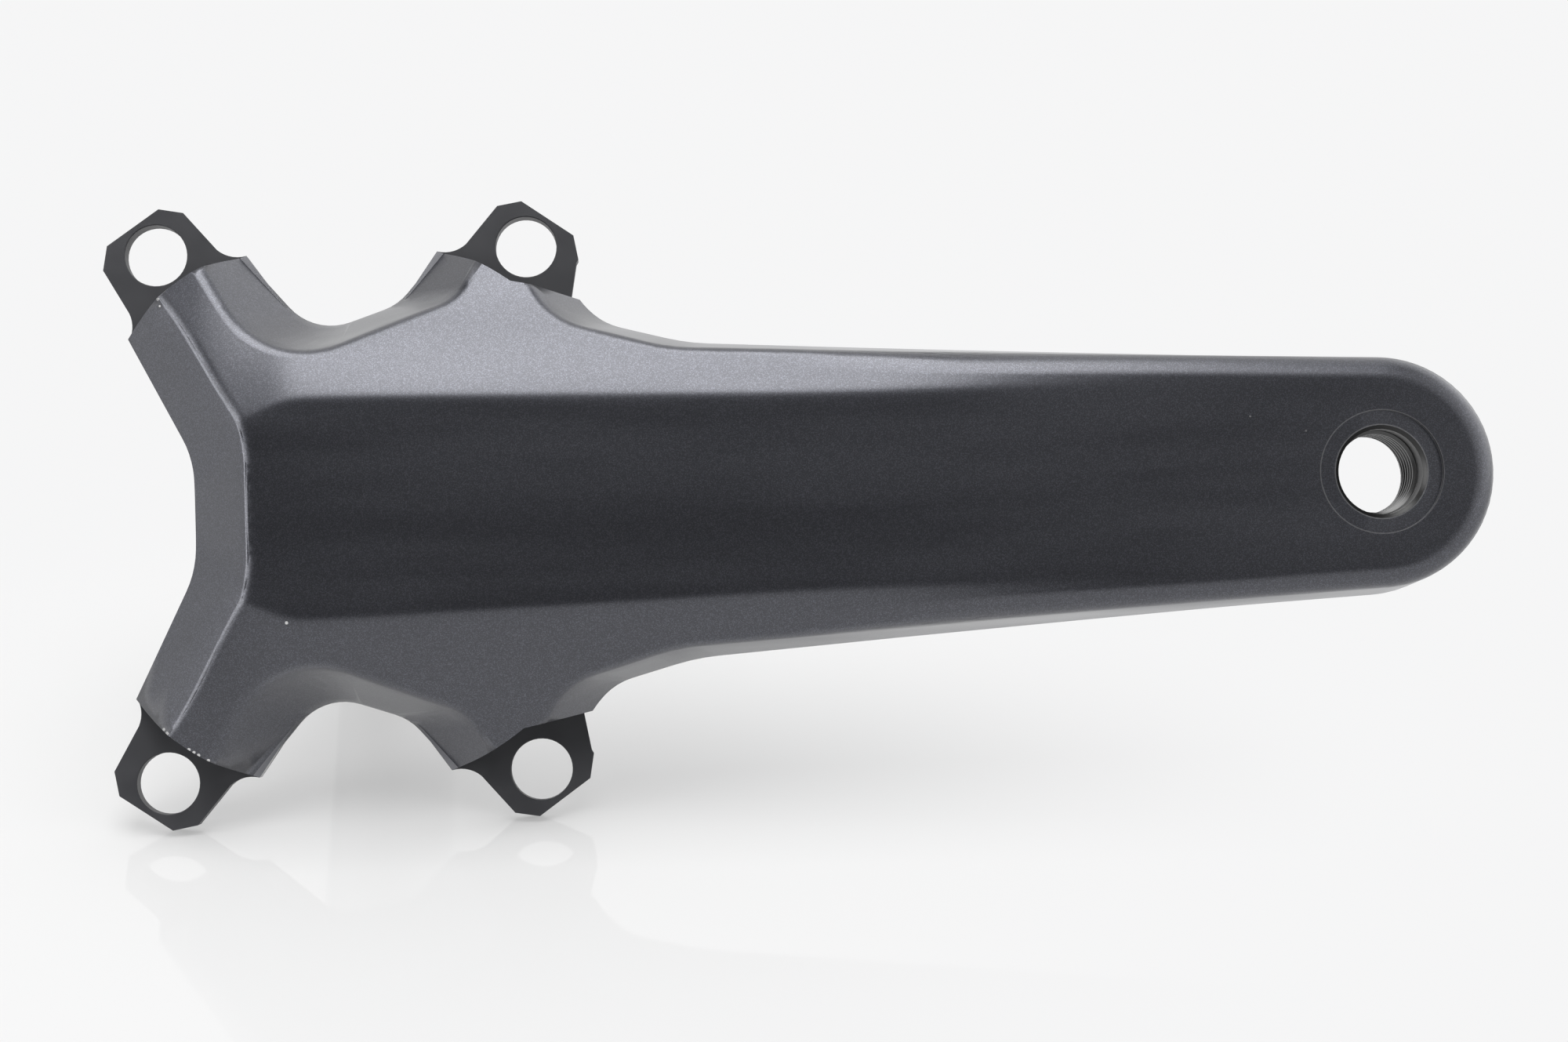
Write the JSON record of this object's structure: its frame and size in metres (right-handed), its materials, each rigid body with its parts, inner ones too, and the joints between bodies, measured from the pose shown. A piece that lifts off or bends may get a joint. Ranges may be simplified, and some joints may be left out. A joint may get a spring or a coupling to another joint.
{
  "type": "bicycle crank arm",
  "caption": "Right-hand bicycle crank arm: faceted dark grey painted body, black chainring bolt tabs, threaded pedal eye, bonded back cover and a hollow splined steel spindle.",
  "frame": {"origin": "on the spindle axis, in the front plane of the chainring tabs", "axes": "+X along the arm to the pedal eye, -Y outboard towards the rider's foot, +Y inboard along the spindle, +Z across the arm"},
  "size_m": [0.2333, 0.1354, 0.106],
  "materials": {
    "arm_paint": "satin metallic dark grey paint over forged aluminium, with black anodised tabs",
    "cover_paint": "satin dark grey paint over an aluminium plate",
    "spindle_steel": "ground and plated steel"
  },
  "bodies": {
    "root": {"crank_arm": "arm_paint", "arm_cover": "cover_paint", "spindle": "spindle_steel"}
  },
  "joints": []
}
